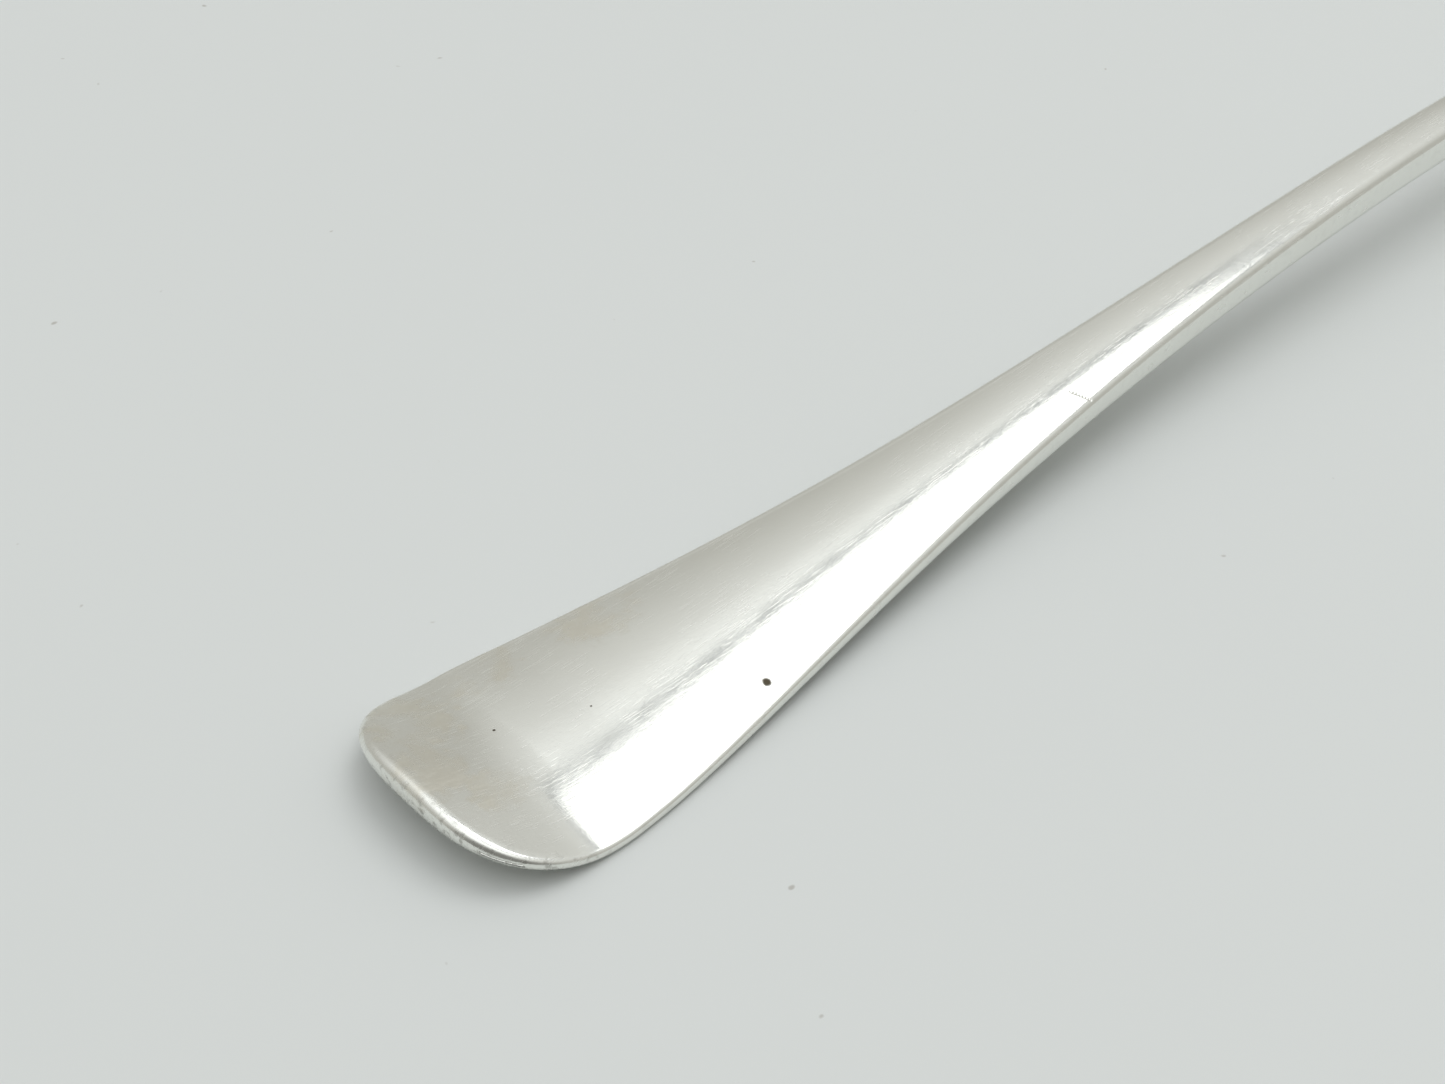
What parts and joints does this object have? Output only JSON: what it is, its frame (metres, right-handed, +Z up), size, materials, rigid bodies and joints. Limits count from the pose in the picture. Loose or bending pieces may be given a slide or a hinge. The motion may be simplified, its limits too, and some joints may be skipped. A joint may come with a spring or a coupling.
{
  "type": "bar spoon",
  "caption": "Long-handled silver stirring spoon with a turned-up, ridged spatulate end, a slim stem and an egg-shaped bowl.",
  "frame": {"origin": "centre of the footprint, on the table the spoon lies on face up", "axes": "+X from the turned-up handle end to the bowl tip, +Z up, out of the bowl; mirror plane y = 0"},
  "size_m": [0.28, 0.031, 0.0109],
  "materials": {
    "silver_handle": "polished",
    "silver_bowl": "polished",
    "silver_drop": "polished"
  },
  "bodies": {
    "root": {"handle": "silver_handle", "bowl": "silver_bowl", "drop": "silver_drop"}
  },
  "joints": []
}
